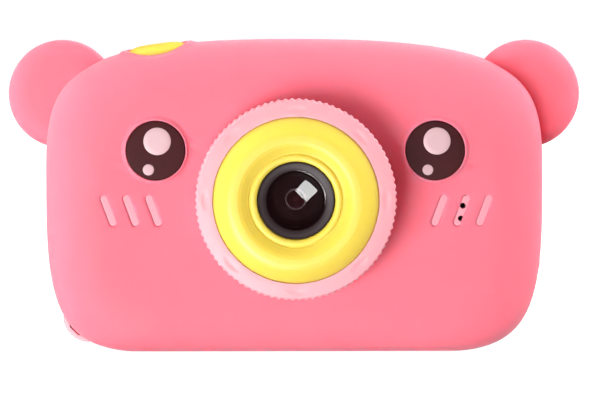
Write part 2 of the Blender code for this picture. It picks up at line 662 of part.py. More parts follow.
def wire(name, points, material):
    """A thin round lead through the given points."""
    curve = bpy.data.curves.new(name, "CURVE")
    curve.dimensions = "3D"
    curve.bevel_depth = 0.45 * MM
    curve.bevel_resolution = 1
    curve.use_fill_caps = True
    smooth = []
    for index in range(len(points) - 1):
        before = Vector(points[max(index - 1, 0)])
        start = Vector(points[index])
        end = Vector(points[index + 1])
        after = Vector(points[min(index + 2, len(points) - 1)])
        for step in range(3):
            t = step / 3
            smooth.append(0.5 * (2 * start + (end - before) * t
                                 + (2 * before - 5 * start + 4 * end - after) * t ** 2
                                 + (3 * start - before - 3 * end + after) * t ** 3))
    smooth.append(Vector(points[-1]))
    spline = curve.splines.new("POLY")
    spline.points.add(len(smooth) - 1)
    for point, place in zip(spline.points, smooth):
        point.co = (*(place * MM), 1)
    curve.materials.append(bpy.data.materials[material])
    item = bpy.data.objects.new(name, curve)
    bpy.context.collection.objects.link(item)


def make_electronics():
    board = box("main_board", BOARD_X, BOARD_Y, BOARD_Z, "circuit_board")
    bm = bmesh.new()
    for place in BOARD_SCREW_PLACES.values():
        add_prism(bm, disc_points(SCREW_BORE, 12), -5, 5, 0, place)
    cut(board, "DIFFERENCE", finish("board_screw_holes", bm, turn=FORWARD))
    box("processor_chip", (14.0, 24.0), (-0.5, 0.7), (24.0, 34.0), "black_chip")
    box("microphone", (18.0, 22.0), (-0.5, 0.7), (16.5, 19.5), "bare_steel")
    box("battery", (-35.0, -11.0), (-9.5, -4.0), (15.0, 40.0), "battery_foil")
    turned("speaker", [(0, 8.2), (6.2, 8.2), (6.2, 9.4), (7.4, 9.4), (7.4, 11.4), (5.0, 11.4), (4.2, 10.9),
                       (0, 11.2)], 24, "black_plastic", at=(SPEAKER_X, 0, 28.0), turn=FORWARD)
    for name, shift, material in (("red", 0.0, "red_wire"), ("black", 2.0, "black_wire")):
        wire("battery_lead_" + name, [(-20.0 + shift, -6.0, 40.9), (-19.8 + shift, -5.2, 42.6),
                                      (-18.4 + shift, -2.6, 42.4), (-17.0 + shift, -0.6, 39.5),
                                      (-16.4 + shift, 0.05, 36.5)], material)
        wire("speaker_lead_" + name, [(29.4 + shift, -7.2, 22.0), (29.2 + shift, -5.4, 19.5),
                                      (28.6 + shift, -2.6, 18.6), (28.0 + shift, -0.6, 19.6),
                                      (27.8 + shift, 0.05, 22.0)], material)


def main():
    clear_scene()
    make_materials()
    make_sleeve()
    make_eye_discs()
    make_front_housing()
    make_rear_housing()
    make_screws()
    make_lens()
    make_shutter()
    make_keys()
    make_rear_details()
    make_ports()
    make_electronics()


main()
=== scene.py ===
"""The finished look of the toy camera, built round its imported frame."""
import json
import math

import bmesh
import bpy
from mathutils import Euler, Matrix, Vector


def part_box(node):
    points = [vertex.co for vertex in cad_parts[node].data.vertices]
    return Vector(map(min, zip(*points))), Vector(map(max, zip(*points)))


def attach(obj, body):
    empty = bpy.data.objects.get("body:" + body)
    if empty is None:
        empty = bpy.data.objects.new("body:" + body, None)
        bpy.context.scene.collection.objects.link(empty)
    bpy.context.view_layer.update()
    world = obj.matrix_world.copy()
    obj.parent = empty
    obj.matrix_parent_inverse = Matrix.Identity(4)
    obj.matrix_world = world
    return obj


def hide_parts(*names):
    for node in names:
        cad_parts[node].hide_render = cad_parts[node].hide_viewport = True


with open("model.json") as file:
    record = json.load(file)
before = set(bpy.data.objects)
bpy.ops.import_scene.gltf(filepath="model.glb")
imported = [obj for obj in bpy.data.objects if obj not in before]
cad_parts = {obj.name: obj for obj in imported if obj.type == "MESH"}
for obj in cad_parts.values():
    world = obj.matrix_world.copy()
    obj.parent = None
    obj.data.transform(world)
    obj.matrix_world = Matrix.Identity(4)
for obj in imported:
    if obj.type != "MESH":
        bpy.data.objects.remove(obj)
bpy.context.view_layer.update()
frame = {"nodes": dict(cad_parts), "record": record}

MM = 0.001


# ---------------------------------------------------------------- places from the frame

def middle(node):
    low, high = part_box(node)
    return [(a + b) / 2 / MM for a, b in zip(low, high)]


def extent(node, axis):
    low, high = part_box(node)
    return low[axis] / MM, high[axis] / MM


def span(node, axis):
    low, high = extent(node, axis)
    return high - low


SLEEVE_LOW, SLEEVE_HIGH = [[value / MM for value in corner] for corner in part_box("silicone_sleeve")]
BODY_HEIGHT = SLEEVE_HIGH[2] - SLEEVE_LOW[2]
BODY_DEPTH = SLEEVE_HIGH[1] - SLEEVE_LOW[1]
HOUSING_OUT = 2.1            # from the sleeve's skin to the housing's
BODY_WIDTH = (extent("front_housing", 0)[1] + HOUSING_OUT) * 2
AXIS_Z = middle("knurled_ring")[2]
RING_RADIUS = span("knurled_ring", 0) / 2
RING_BACK = -extent("knurled_ring", 1)[1]
RING_FRONT = -extent("knurled_ring", 1)[0]
TRIM_RADIUS = span("lens_trim_ring", 0) / 2
CREST = -extent("lens_trim_ring", 1)[0]
HOOD_FRONT = -extent("lens_hood", 1)[0]
HOOD_RADIUS = span("lens_hood", 0) / 2

# Shape of the body, in millimetres
FRONT_ROUNDING = 13.0
REAR_ROUNDING = 7.0
SOLE = 0.2
SOLE_EASE = 0.3
SOLE_FADE = 12.0
SIDE_HEIGHT = 28.6
SHOULDER = (50.2, 50.4)
HIP = (44.1, 6.3)
FLAT_HALF = 28.1
SLEEVE_WALL = 1.8
CROWN = 0.25                 # how far the front face swells
HOUSING_WALL = 1.8
HAIR = 0.013                 # keeps two faces from coinciding
CUTTER_RISE = 2.0            # how far a cutter stands above the surface it opens

# Openings of the sleeve
LENS_OPENING = 16.5
REAR_OPENING = (75, 39.2)
REAR_OPENING_CORNER = 10
REAR_OPENING_Z = 29.9
PORT_LOW = 13.0
PORT_HIGH = 37.6
PORT_WIDTH = 8.4
PORT_Y = -0.5

# Strap lug at the lower corner
LUG_X = -39.7
LUG_Z = 6.1
LUG_RADIUS = 4.9
LUG_HALF = 1.5
LUG_OPENING = 5.45
LUG_OPENING_HALF = 2.8
LUG_HOLE = (3.0, 1.1)
LUG_HOLE_REACH = 3.45        # from the lug's middle, outwards at 45 degrees

# Ears and face
EAR_HALF = 4.5
EAR_RADIUS = 10.4
EAR_X = SLEEVE_HIGH[0] - EAR_RADIUS
EAR_Z = 49.0
EAR_Y = 1.0
EYE_RADIUS = 5.6
EYE_BACK = 15.6              # heights in front of the middle plane
EYE_FACE = 16.45
EYE_DOME = 0.12
EYE_EDGE = 0.35
WHISKER_X = {-1: -31.0, 1: 31.4}
WHISKER_Z = 27.55
WHISKER_PITCH = 4.25
WHISKER_SLANT = math.radians(20.5)
WHISKER_SLOT = (6.1, 1.3)    # length and width at the bottom of its flare
RIB = (6.7, 1.9)
SOUND_HOLES = ((31.2, 26.0), (31.6, 28.4), (31.9, 30.8))
SOUND_HOLE_RADIUS = 0.56

# Lens
TEETH = 90
TOOTH_DEPTH = 0.27
DIMPLES = 8
DIMPLE_DEPTH = 0.18
DIMPLE_CENTRE = 16.9
DIMPLE_HALF_LENGTH = 2.35
DIMPLE_HALF_WIDTH = 0.85
RING_INNER = 15.0
RING_SLOPE = 0.34            # how far the ring's face falls towards its teeth
RING_GAP = 0.035
SEAT = 19.9                  # where the ring's inner step rests
TRIM_EDGE = 24.22
LIP = 25.3
MARK_PITCH = 0.65            # fine turning marks of the funnel
MARK_DEPTH = 0.012
WINDOW_HOLLOW = 10.5         # radius of the lens window's hollow front
WINDOW_RADIUS = 5.4

# Shutter button
SHUTTER_X = -26.4
SHUTTER_Y = -1.0
SHUTTER_TILT = math.radians(-8)
SHUTTER_RADIUS = 5.92
SHUTTER_FLANGE = 6.6
SHUTTER_STEM = 1.5
SHUTTER_CROWN = 1.7
RIM_INNER = 6.0
RIM_RISE = 0.4               # at its left and right
RIM_DIP = 0.3                # in front

# Rear keys
KEY_FLANGE = 0.7             # how far a key's flange reaches past its cap
KEY_GAP = 0.22

# turns that lay local Z along the front, back or right of the camera
FORWARD = (math.radians(90), 0, 0)
BACKWARD = (math.radians(90), 0, math.radians(180))
SIDEWAYS = (math.radians(90), 0, math.radians(90))


# ---------------------------------------------------------------- materials

def linear(colour):
    values = [channel / 255 for channel in colour]
    return [v / 12.92 if v <= 0.04045 else ((v + 0.055) / 1.055) ** 2.4 for v in values] + [1]


def material(name, colour, roughness=0.5, metallic=0.0, variation=0.03, grain=0.0, grain_scale=900,
             **sockets):
    """A moulded surface: faint colour and gloss variation, and a fine grain as bump."""
    made = bpy.data.materials.new(name)
    made.use_nodes = True
    nodes = made.node_tree.nodes
    links = made.node_tree.links
    shader = nodes["Principled BSDF"]
    shader.inputs["Metallic"].default_value = metallic
    for socket, value in sockets.items():
        shader.inputs[socket.replace("_", " ")].default_value = value
    place = nodes.new("ShaderNodeTexCoord")
    cloud = nodes.new("ShaderNodeTexNoise")
    cloud.inputs["Scale"].default_value = 60
    cloud.inputs["Detail"].default_value = 3
    links.new(place.outputs["Object"], cloud.inputs["Vector"])
    base = linear(colour)
    ramp = nodes.new("ShaderNodeValToRGB")
    ramp.color_ramp.elements[0].position = 0.3
    ramp.color_ramp.elements[1].position = 0.7
    ramp.color_ramp.elements[0].color = [c * (1 - variation) for c in base[:3]] + [1]
    ramp.color_ramp.elements[1].color = [min(c * (1 + variation), 1) for c in base[:3]] + [1]
    links.new(cloud.outputs["Fac"], ramp.inputs["Fac"])
    links.new(ramp.outputs["Color"], shader.inputs["Base Color"])
    spread = nodes.new("ShaderNodeMapRange")
    spread.inputs["To Min"].default_value = max(roughness - 0.04, 0)
    spread.inputs["To Max"].default_value = roughness + 0.04
    links.new(cloud.outputs["Fac"], spread.inputs["Value"])
    links.new(spread.outputs["Result"], shader.inputs["Roughness"])
    if grain:
        fine = nodes.new("ShaderNodeTexNoise")
        fine.inputs["Scale"].default_value = grain_scale
        fine.inputs["Detail"].default_value = 4
        links.new(place.outputs["Object"], fine.inputs["Vector"])
        bump = nodes.new("ShaderNodeBump")
        bump.inputs["Strength"].default_value = grain
        bump.inputs["Distance"].default_value = 0.0001
        links.new(fine.outputs["Fac"], bump.inputs["Height"])
        links.new(bump.outputs["Normal"], shader.inputs["Normal"])
    return made


SILICONE = material("moulded_silicone", (255, 124, 143), 0.6, variation=0.015, grain=0.25, grain_scale=2500,
                    Subsurface_Weight=0.75, Subsurface_Radius=(1.0, 0.15, 0.18), Subsurface_Scale=0.0035,
                    Sheen_Weight=0.18, Sheen_Roughness=0.4, Specular_IOR_Level=0.18)
PALE = material("pale_pink_plastic", (228, 166, 175), 0.48, grain=0.15, grain_scale=2200,
                Subsurface_Weight=0.4, Subsurface_Radius=(1.0, 0.3, 0.35), Subsurface_Scale=0.0015)
YELLOW = material("yellow_plastic", (230, 213, 86), 0.42, grain=0.05, grain_scale=1800,
                  Subsurface_Weight=0.6, Subsurface_Radius=(1.0, 0.9, 0.25), Subsurface_Scale=0.0035)
BLACK = material("black_plastic", (42, 33, 36), 0.50, grain=0.1, Specular_IOR_Level=0.35)
MATT_BLACK = material("lens_bowl_black", (27, 20, 21), 0.6, grain=0.05, Specular_IOR_Level=0.15)
COATED = material("coated_lens", (74, 26, 34), 0.10, Coat_Weight=0.6, Coat_Roughness=0.03)
# pale matt colour on the metal lens collar: painted reflection standing in for its bright metal edge
COLLAR_PAINTED_SHINE = material("collar_painted_reflection", (214, 200, 204), 0.35, grain=0.05)
EYE_DARK = material("eye_inlay", (62, 24, 27), 0.6, variation=0.12, grain=0.2, Specular_IOR_Level=0.12,
                    Subsurface_Weight=0.3, Subsurface_Radius=(1.0, 0.1, 0.1), Subsurface_Scale=0.001)
PRINT = material("key_print", (132, 82, 36), 0.5, grain=0.1)
PICTURE = material("display_area", (26, 29, 40), 0.10, Coat_Weight=0.5, Coat_Roughness=0.04)
COPPER = material("gold_contacts", (214, 170, 84), 0.3, 1.0, grain=0.1)
EYE_LIGHT = material("eye_glint", (196, 168, 172), 0.5, grain=0.1)
# the ribs are the pale housing plastic drawn in a darker pink: painted shade of the slots they sit in
RIB_PAINTED_SHADE = material("rib_plastic_painted_shade", (228, 146, 160), 0.5, grain=0.15, grain_scale=2200)
GLASS = material("clear_glass", (235, 240, 242), 0.03, variation=0.0, Transmission_Weight=1.0, IOR=1.5)
SCREEN = material("display_glass", (14, 15, 19), 0.07, Coat_Weight=0.6, Coat_Roughness=0.03)
BOARD = material("circuit_board", (22, 88, 56), 0.45, grain=0.3, grain_scale=500)
CHIP = material("black_chip", (30, 30, 33), 0.55, grain=0.3)
STEEL = material("bare_steel", (188, 190, 194), 0.28, 1.0, grain=0.1)
FOIL = material("battery_foil", (186, 190, 197), 0.33, 0.8, grain=0.5, grain_scale=300)
AMBER = material("amber_film", (190, 116, 38), 0.38, grain=0.1)
RED = material("red_wire", (186, 30, 28), 0.5, grain=0.1)
DARK_WIRE = material("black_wire", (26, 26, 28), 0.5, grain=0.1)

SLOT_LOOKS = {"sleeve_silicone": SILICONE, "housing_plastic": PALE, "yellow_plastic": YELLOW,
              "black_plastic": BLACK, "eye_inlay": EYE_DARK, "clear_glass": GLASS,
              "display_glass": SCREEN, "circuit_board": BOARD, "black_chip": CHIP, "bare_steel": STEEL,
              "battery_foil": FOIL, "amber_film": AMBER, "red_wire": RED, "black_wire": DARK_WIRE}


# ---------------------------------------------------------------- mesh helpers

def finish(name, bm, look=None, at=(0, 0, 0), turn=(0, 0, 0), sharp=40):
    """Turn a bmesh in millimetres into an object in metres, placed by moving its points."""
    place = Matrix.Translation(Vector(at)) @ Euler(turn).to_matrix().to_4x4()
    bmesh.ops.transform(bm, matrix=Matrix.Scale(MM, 4) @ place, verts=bm.verts)
    bmesh.ops.recalc_face_normals(bm, faces=bm.faces)
    mesh = bpy.data.meshes.new(name)
    bm.to_mesh(mesh)
    bm.free()
    item = bpy.data.objects.new(name, mesh)
    bpy.context.scene.collection.objects.link(item)
    mesh.shade_smooth()
    mesh.set_sharp_from_angle(angle=math.radians(sharp))
    if look:
        mesh.materials.append(look)
    return item


def cut(item, operation, *tools):
    """Apply Booleans at once and remove their tools."""
    for tool in tools:
        modifier = item.modifiers.new(tool.name, "BOOLEAN")
        modifier.operation = operation
        modifier.solver = "EXACT"
        modifier.object = tool
    bpy.context.view_layer.update()
    evaluated = item.evaluated_get(bpy.context.evaluated_depsgraph_get())
    made = bpy.data.meshes.new_from_object(evaluated)
    item.modifiers.clear()
    item.data = made
    for tool in tools:
        bpy.data.objects.remove(tool, do_unlink=True)


def smooth(item, sharp=40):
    item.data.shade_smooth()
    item.data.set_sharp_from_angle(angle=math.radians(sharp))


def ring_body(bm, rings, closed=False):
    """Join rings of points, each one closed, into a skin. Unclosed stacks get end faces."""
    made = [[bm.verts.new(point) for point in ring] for ring in rings]
    pairs = list(zip(made, made[1:] + made[:1])) if closed else list(zip(made, made[1:]))
    for first, second in pairs:
        count = len(first)
        for step in range(count):
            after = (step + 1) % count
            bm.faces.new([first[step], first[after], second[after], second[step]])
    if not closed:
        for ring in (made[0], made[-1]):
            bm.faces.new(ring)


def turned_part(bm, profile, segments, centre=(0, 0), shape=None):
    """Add a body turned about local Z. The profile is closed, of (radius, height) points.

    shape(radius, height, angle) may move a point before it is placed.
    """
    rings = []
    for radius, height in profile:
        if radius == 0:
            rings.append([bm.verts.new((*centre, height))] * segments)
            continue
        ring = []
        for step in range(segments):
            angle = math.tau * step / segments
            r, h = shape(radius, height, angle) if shape else (radius, height)
            ring.append(bm.verts.new((centre[0] + r * math.cos(angle), centre[1] + r * math.sin(angle), h)))
        rings.append(ring)
    for first, second in zip(rings, rings[1:] + rings[:1]):
        for step in range(segments):
            after = (step + 1) % segments
            corners = list(dict.fromkeys([first[step], first[after], second[after], second[step]]))
            if len(corners) > 2:
                bm.faces.new(corners)


def turned(name, profile, segments, look=None, shape=None, sharp=40, **place):
    bm = bmesh.new()
    turned_part(bm, profile, segments, shape=shape)
    return finish(name, bm, look, sharp=sharp, **place)


def rounded(profile, radius, steps=4):
    """A closed profile with its corners rounded off by short quadratic curves.

    radius is one number, or one for each point; 0 keeps a corner.
    """
    made = []
    count = len(profile)
    for index, corner in enumerate(profile):
        size = radius[index] if isinstance(radius, (list, tuple)) else radius
        here = Vector(corner)
        before = Vector(profile[index - 1])
        after = Vector(profile[(index + 1) % count])
        if size == 0:
            made.append(tuple(here))
            continue
        start = here + (before - here).normalized() * min(size, (before - here).length * 0.45)
        end = here + (after - here).normalized() * min(size, (after - here).length * 0.45)
        for step in range(steps + 1):
            t = step / steps
            made.append(tuple((1 - t) ** 2 * start + 2 * t * (1 - t) * here + t * t * end))
    return made


def circle(radius, segments=64):
    return [(radius * math.cos(math.tau * step / segments), radius * math.sin(math.tau * step / segments))
            for step in range(segments)]


def capsule(length, width, steps=10):
    points = []
    for end, start in ((1, 0), (-1, 180)):
        for step in range(steps + 1):
            angle = math.radians(start + 180 * step / steps)
            points.append((width / 2 * math.cos(angle),
                           end * (length - width) / 2 + width / 2 * math.sin(angle)))
    return points


def rounded_rectangle(width, height, radius, steps=8):
    points = []
    for corner, (side_x, side_y) in enumerate(((1, 1), (-1, 1), (-1, -1), (1, -1))):
        for step in range(steps + 1):
            angle = math.radians(90) * (corner + step / steps)
            points.append((side_x * (width / 2 - radius) + radius * math.cos(angle),
                           side_y * (height / 2 - radius) + radius * math.sin(angle)))
    return points


def flared(bm, outline, low, surface, fillet, at=(0, 0), spin=0.0, depth=None, steps=5):
    """A cutter whose mouth opens in a quarter round where it meets the surface.

    outline(grow) gives the opening's points, moved outwards by grow.
    """
    depth = depth or fillet
    levels = [(low, 0.0)]
    for step in range(steps + 1):
        angle = math.radians(90) * step / steps
        levels.append((surface - depth + depth * math.sin(angle), fillet * (1 - math.cos(angle))))
    levels.append((surface + CUTTER_RISE, fillet + 0.02))
    plate(bm, outline, levels, at, spin)


def plate(bm, outline, levels, at=(0, 0), spin=0.0):
    """Add a solid through levels of (height, grow), where outline(grow) gives its points."""
    turn = Matrix.Rotation(spin, 2)
    rings = []
    for height, grow in levels:
        corners = [turn @ Vector(point) for point in outline(grow)]
        rings.append([(x + at[0], y + at[1], height) for x, y in corners])
    ring_body(bm, rings)


def widened(size, grow):
    return [side + 2 * grow for side in size]


def soft_levels(low, high, edge, steps=4):
    """Levels from low to high whose upper edge is rounded."""
    levels = [(low, 0)]
    for step in range(steps + 1):
        angle = math.radians(90) * step / steps
        levels.append((high - edge + edge * math.sin(angle), -edge * (1 - math.cos(angle))))
    return levels


def bezier(points, steps):
    made = []
    for step in range(1, steps + 1):
        t = step / steps
        weights = ((1 - t) ** 3, 3 * t * (1 - t) ** 2, 3 * t * t * (1 - t), t ** 3)
        made.append(tuple(sum(w * p[axis] for w, p in zip(weights, points)) for axis in (0, 1)))
    return made


def body_outline(fine):
    """The front outline in (x, z), from bottom centre and all the way round."""
    half = BODY_WIDTH / 2
    right = [(FLAT_HALF * step / (2 * fine), -SOLE) for step in range(2 * fine + 1)]
    right += bezier([(FLAT_HALF, -SOLE), (HIP[0], -SOLE), (half, HIP[1]), (half, SIDE_HEIGHT)], 5 * fine)
    right += bezier([(half, SIDE_HEIGHT), (half, SHOULDER[1]), (SHOULDER[0], BODY_HEIGHT),
                     (0, BODY_HEIGHT)], 8 * fine)
    return right + [(-x, z) for x, z in right[-2:0:-1]]


def top_height(x):
    outline = [point for point in body_outline(8) if point[0] >= 0 and point[1] > SIDE_HEIGHT]
    for outer, inner in zip(outline, outline[1:]):
        if inner[0] <= abs(x) <= outer[0]:
            share = (abs(x) - inner[0]) / max(outer[0] - inner[0], 1e-9)
            return inner[1] + share * (outer[1] - inner[1])
    return BODY_HEIGHT


def pillow(name, inset, look=None, fine=5, crown=CROWN):
    """The rounded body, with its whole surface moved in by inset and its front face crowned."""
    half_w = BODY_WIDTH / 2 - inset
    half_h = (BODY_HEIGHT + SOLE) / 2 - inset
    half_d = BODY_DEPTH / 2 - inset
    middle_z = (BODY_HEIGHT - SOLE) / 2
    outline = body_outline(fine)
    rings = []
    steps = 4 * fine

    def scaled(drop, depth_of):
        ring = []
        for x, z in outline:
            place_z = middle_z + (z - middle_z) * (half_h - drop(x, z)) / ((BODY_HEIGHT + SOLE) / 2)
            place_z -= min(drop(x, z), SOLE_EASE) * max(1 - z / SOLE_FADE, 0)
            place_x = x * (half_w - drop(x, z)) / (BODY_WIDTH / 2)
            ring.append((place_x, depth_of(x, z), max(place_z, inset)))
        return ring

    def power(z, front):
        height = min(max(z / BODY_HEIGHT, 0), 1)
        return 3.2 - 1.1 * height if front else 2.4

    for step in range(-steps, steps + 1):
        front = step >= 0
        angle = math.radians(90) * abs(step) / steps
        rounding = (FRONT_ROUNDING if front else REAR_ROUNDING) - inset
        cosine = max(math.cos(angle), 0)
        side = -1 if front else 1
        face = half_d - (crown if front else 0)
        rings.append(scaled(lambda x, z: rounding * (1 - cosine ** (2 / power(z, front))),
                            lambda x, z: side * face * math.sin(angle) ** (2 / power(z, front))))
    # the front face, as shrinking outlines that rise to the crown
    for step in range(1, 2 * fine):
        share = 1 - step / (2 * fine)
        rise = crown * (1 - share ** 2)
        last = rings[2 * steps]
        rings.append([(x * share, -(half_d - crown) - rise, middle_z + (z - middle_z) * share)
                      for x, _, z in last])
    bm = bmesh.new()
    ring_body(bm, rings)
    return finish(name, bm, look)


def shutter_place():
    return {"at": (SHUTTER_X, SHUTTER_Y, top_height(SHUTTER_X)), "turn": (0, SHUTTER_TILT, 0)}


def stand_in(piece, body, *nodes):
    """This piece is seen instead of the named frame nodes."""
    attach(piece, body)
    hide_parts(*nodes)


# ---------------------------------------------------------------- camera

def look_from(azimuth, elevation, distance, target, focal):
    camera = bpy.data.cameras.new("camera")
    camera.lens = focal
    item = bpy.data.objects.new("camera", camera)
    bpy.context.scene.collection.objects.link(item)
    a = math.radians(azimuth)
    e = math.radians(elevation)
    away = Vector((math.sin(a) * math.cos(e), -math.cos(a) * math.cos(e), math.sin(e)))
    item.location = Vector(target) + away * distance
    item.rotation_euler = (-away).to_track_quat("-Z", "Y").to_euler()
    bpy.context.scene.camera = item
    return item


# ---------------------------------------------------------------- sleeve

def raise_rim(sleeve):
    """Refine the skin round the shutter button and raise a soft rim there."""
    bm = bmesh.new()
    bm.from_mesh(sleeve.data)
    place = shutter_place()
    axis = Euler(place["turn"]).to_matrix() @ Vector((0, 0, 1))

    def away(vert):
        offset = vert.co / MM - Vector(place["at"])
        return (offset - axis * offset.dot(axis)).length

    high = [edge for edge in bm.edges if min(vert.co.z for vert in edge.verts) > 0.045]
    near = [edge for edge in high if max(away(vert) for vert in edge.verts) < RIM_INNER + 5]
    bmesh.ops.subdivide_edges(bm, edges=near, cuts=3, use_grid_fill=True)
    bm.normal_update()
    for vert in bm.verts:
        distance = away(vert)
        if vert.co.z > 0.045 and distance < RIM_INNER + 2:
            share = min(max((RIM_INNER + 1.9 - distance) / 1.3, 0), 1)
            offset = vert.co / MM - Vector(place["at"])
            sideways = min((offset.x / max(distance, 0.1)) ** 2, 1)
            rise = RIM_RISE * sideways - (RIM_DIP * (1 - sideways) if offset.y < 0 else 0)
            vert.co += vert.normal * rise * MM * share * share * (3 - 2 * share)
    bm.to_mesh(sleeve.data)
    bm.free()


def make_sleeve():
    sleeve = pillow("silicone_sleeve_skin", 0, SILICONE)
    raise_rim(sleeve)
    ears = bmesh.new()
    for side in (-1, 1):
        profile = [(0, EAR_HALF), (0, -EAR_HALF)]
        for step in range(25):
            angle = math.radians(-90 + 7.5 * step)
            profile.append((EAR_RADIUS - EAR_HALF + EAR_HALF * math.cos(angle) ** 0.9 if 0 < step < 24
                            else EAR_RADIUS - EAR_HALF, EAR_HALF * math.sin(angle)))
        turned_part(ears, profile, 112, (side * EAR_X, EAR_Z))
    ear_form = finish("ear_form", ears, at=(0, EAR_Y, 0), turn=FORWARD)

    lips = bmesh.new()
    for node in ("left_eye_disc", "right_eye_disc"):
        x, _, z = middle(node)
        lip = rounded([(EYE_RADIUS - 0.4, 15.0), (EYE_RADIUS + 1.0, 15.0), (EYE_RADIUS + 1.0, 15.7),
                       (EYE_RADIUS + 0.45, 16.1), (EYE_RADIUS + 0.3, 16.5), (EYE_RADIUS - 0.4, 16.5)],
                      [0, 0, 0.3, 0.3, 0.12, 0])
        turned_part(lips, lip, 96, (x, z))
    eye_lips = finish("eye_lips", lips, turn=FORWARD)

    openings = bmesh.new()
    front = BODY_DEPTH / 2 - CROWN
    flared(openings, lambda grow: circle(LENS_OPENING + grow, 96), 8, 15.9, 0.4, at=(0, AXIS_Z))
    for node in ("left_eye_disc", "right_eye_disc"):
        x, _, z = middle(node)
        flared(openings, lambda grow: circle(EYE_RADIUS + 0.06 + grow, 96), 15.3, 16.52, 0.08, at=(x, z))
    for side in (-1, 1):
        for number in (-1, 0, 1):
            place = (WHISKER_X[side] + number * WHISKER_PITCH, WHISKER_Z)
            flared(openings, lambda grow: capsule(*widened(WHISKER_SLOT, grow)), 10, front + 0.04, 0.6,
                   at=place, spin=-side * WHISKER_SLANT, depth=0.3)
    front_openings = finish("front_openings", openings, turn=FORWARD)

    window = bmesh.new()
    corner = REAR_OPENING_CORNER
    flared(window, lambda grow: rounded_rectangle(*widened(REAR_OPENING, grow), corner + grow, 12),
           8, BODY_DEPTH / 2, 0.9, at=(0, REAR_OPENING_Z))
    rear_window = finish("rear_window", window, turn=BACKWARD)

    port = bmesh.new()
    flared(port, lambda grow: capsule(*widened((PORT_HIGH - PORT_LOW, PORT_WIDTH), grow), 16), 40,
           BODY_WIDTH / 2 - 0.15, 0.8, at=(0, (PORT_LOW + PORT_HIGH) / 2))
    port_opening = finish("port_opening", port, turn=SIDEWAYS)

    button = bmesh.new()
    flared(button, lambda grow: circle(RIM_INNER + grow, 96), -8, 0.4, 0.35)
    button_opening = finish("button_opening", button, **shutter_place())

    lug = bmesh.new()
    ring_body(lug, [[(x + LUG_X, z + LUG_Z, height) for x, z in circle(LUG_OPENING, 64)]
                    for height in (-LUG_OPENING_HALF, LUG_OPENING_HALF)])
    lug_opening = finish("lug_opening", lug, turn=FORWARD)

    cut(sleeve, "UNION", ear_form, eye_lips)
    cut(sleeve, "DIFFERENCE", pillow("cavity", SLEEVE_WALL, fine=3, crown=0), front_openings, rear_window,
        port_opening, button_opening, lug_opening)
    smooth(sleeve, 45)
    stand_in(sleeve, "camera_body", "silicone_sleeve")


def make_ribs():
    """Pale ribs of the front housing that fill the whisker slots nearly to the surface."""
    levels = ((13.6, 0), (15.4, 0), (15.44, -0.15), (15.46, -0.35), (15.47, -0.6))
    ribs = bmesh.new()
    for side in (-1, 1):
        for number in (-1, 0, 1):
            place = (WHISKER_X[side] + number * WHISKER_PITCH, WHISKER_Z)
            plate(ribs, lambda grow: capsule(*widened(RIB, grow)), levels, place, -side * WHISKER_SLANT)
    # the ribs' darker pink is painted shade of the slots, not the housing's own colour
    piece = finish("whisker_ribs", ribs, RIB_PAINTED_SHADE, turn=FORWARD)
    holes = bmesh.new()
    for place in SOUND_HOLES:
        plate(holes, lambda grow: circle(SOUND_HOLE_RADIUS + grow, 24), ((12, 0), (18, 0)), place)
    cut(piece, "DIFFERENCE", finish("sound_holes", holes, turn=FORWARD))
    smooth(piece, 35)
    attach(piece, "camera_body")


# each eye's glints, as (sideways, upwards, radius)
GLINTS = {-1: ((0.3, 1.75, 2.58), (-1.35, -3.6, 1.05)),
          1: ((0.3, 1.78, 2.55), (-1.4, -3.65, 1.0))}


def make_eyes():
    """Dark domed discs with two pale glints each."""
    for name, side in (("left_eye", -1), ("right_eye", 1)):
        x, _, z = middle(name + "_disc")
        profile = [(0, EYE_BACK), (EYE_RADIUS, EYE_BACK), (EYE_RADIUS, EYE_FACE - EYE_EDGE)]
        for step in range(1, 7):
            angle = math.radians(90) * step / 6
            profile.append((EYE_RADIUS - EYE_EDGE + EYE_EDGE * math.cos(angle),
                            EYE_FACE - EYE_EDGE + EYE_EDGE * math.sin(angle)))
        for share in (0.75, 0.5, 0.25):
            profile.append((EYE_RADIUS * share * 0.93, EYE_FACE + EYE_DOME * (1 - share ** 2)))
        profile.append((0, EYE_FACE + EYE_DOME))
        disc = turned(name + "_dome", profile, 96, EYE_DARK, at=(x, 0, z), turn=FORWARD)
        stand_in(disc, "camera_body", name + "_disc")
        # the lower glint sits towards the camera's left on both eyes
        for number, (shift_x, shift_z, radius) in enumerate(GLINTS[side]):
            away = math.hypot(shift_x, shift_z) / EYE_RADIUS
            height = EYE_FACE + EYE_DOME * (1 - away ** 2)
            profile = [(0, height - 0.25), (radius, height - 0.25), (radius, height + 0.01),
                       (radius - 0.08, height + 0.06), (radius * 0.6, height + 0.075), (0, height + 0.08)]
            size = "large" if number == 0 else "small"
            glint = turned(name + "_" + size + "_glint", profile, 64, EYE_LIGHT,
                           at=(x + shift_x, 0, z + shift_z), turn=FORWARD)
            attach(glint, "camera_body")


# ---------------------------------------------------------------- lens

